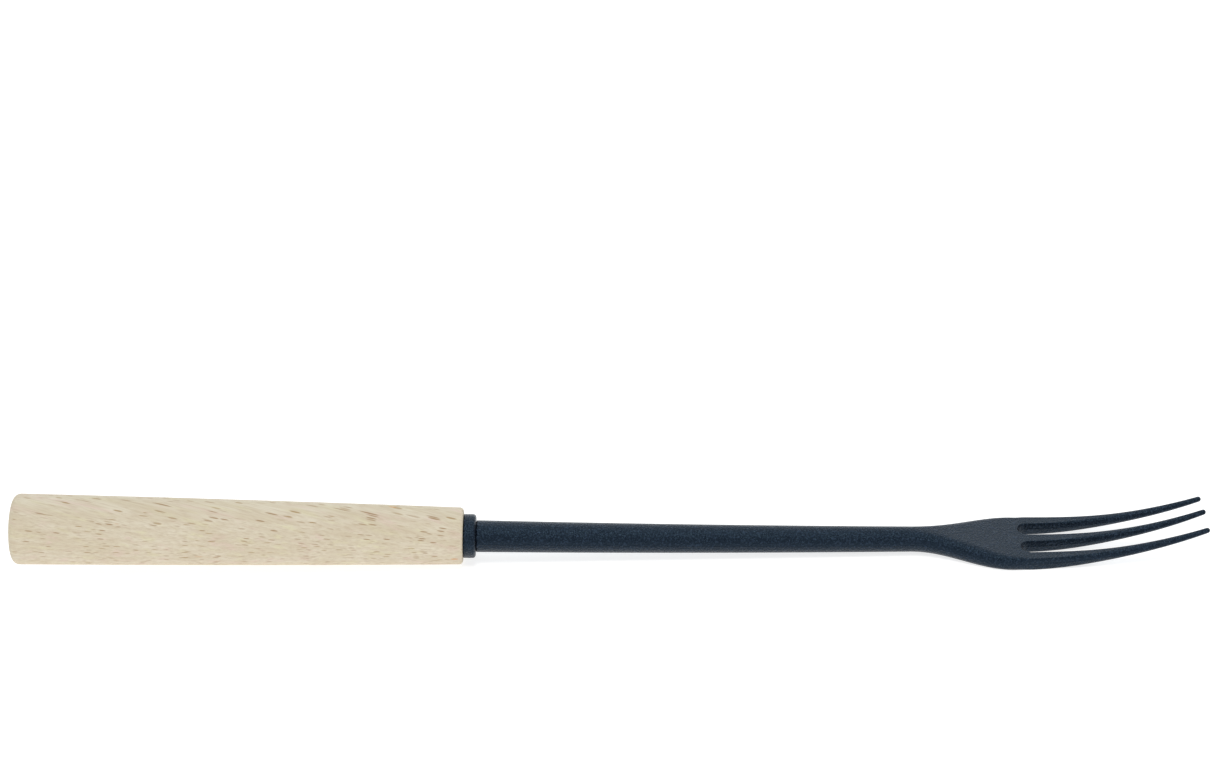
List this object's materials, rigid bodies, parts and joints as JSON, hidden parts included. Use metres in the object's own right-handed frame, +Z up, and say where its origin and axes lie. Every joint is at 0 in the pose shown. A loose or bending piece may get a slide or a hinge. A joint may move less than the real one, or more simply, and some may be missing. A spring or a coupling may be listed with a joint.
{
  "type": "marshmallow roasting fork",
  "caption": "Roasting fork with upswept tines, a flat-planed head and a slim round shaft, set through a collar into a turned wooden handle, for toasting food over a fire.",
  "frame": {"origin": "on the table that the fork rests on, under the middle of its box", "axes": "+X from the butt of the handle to the points of the tines, +Z up from the table, the fork at rest on the handle's front rim and the flat under its head"},
  "size_m": [0.3406, 0.0222, 0.0235],
  "materials": {
    "hardwood": "satin",
    "collar_coat": "matte",
    "fork_coat": "matte",
    "cured_resin": "satin"
  },
  "bodies": {
    "root": {"handle": "hardwood", "collar": "collar_coat", "fork": "fork_coat", "tang_adhesive": "cured_resin"}
  },
  "joints": []
}
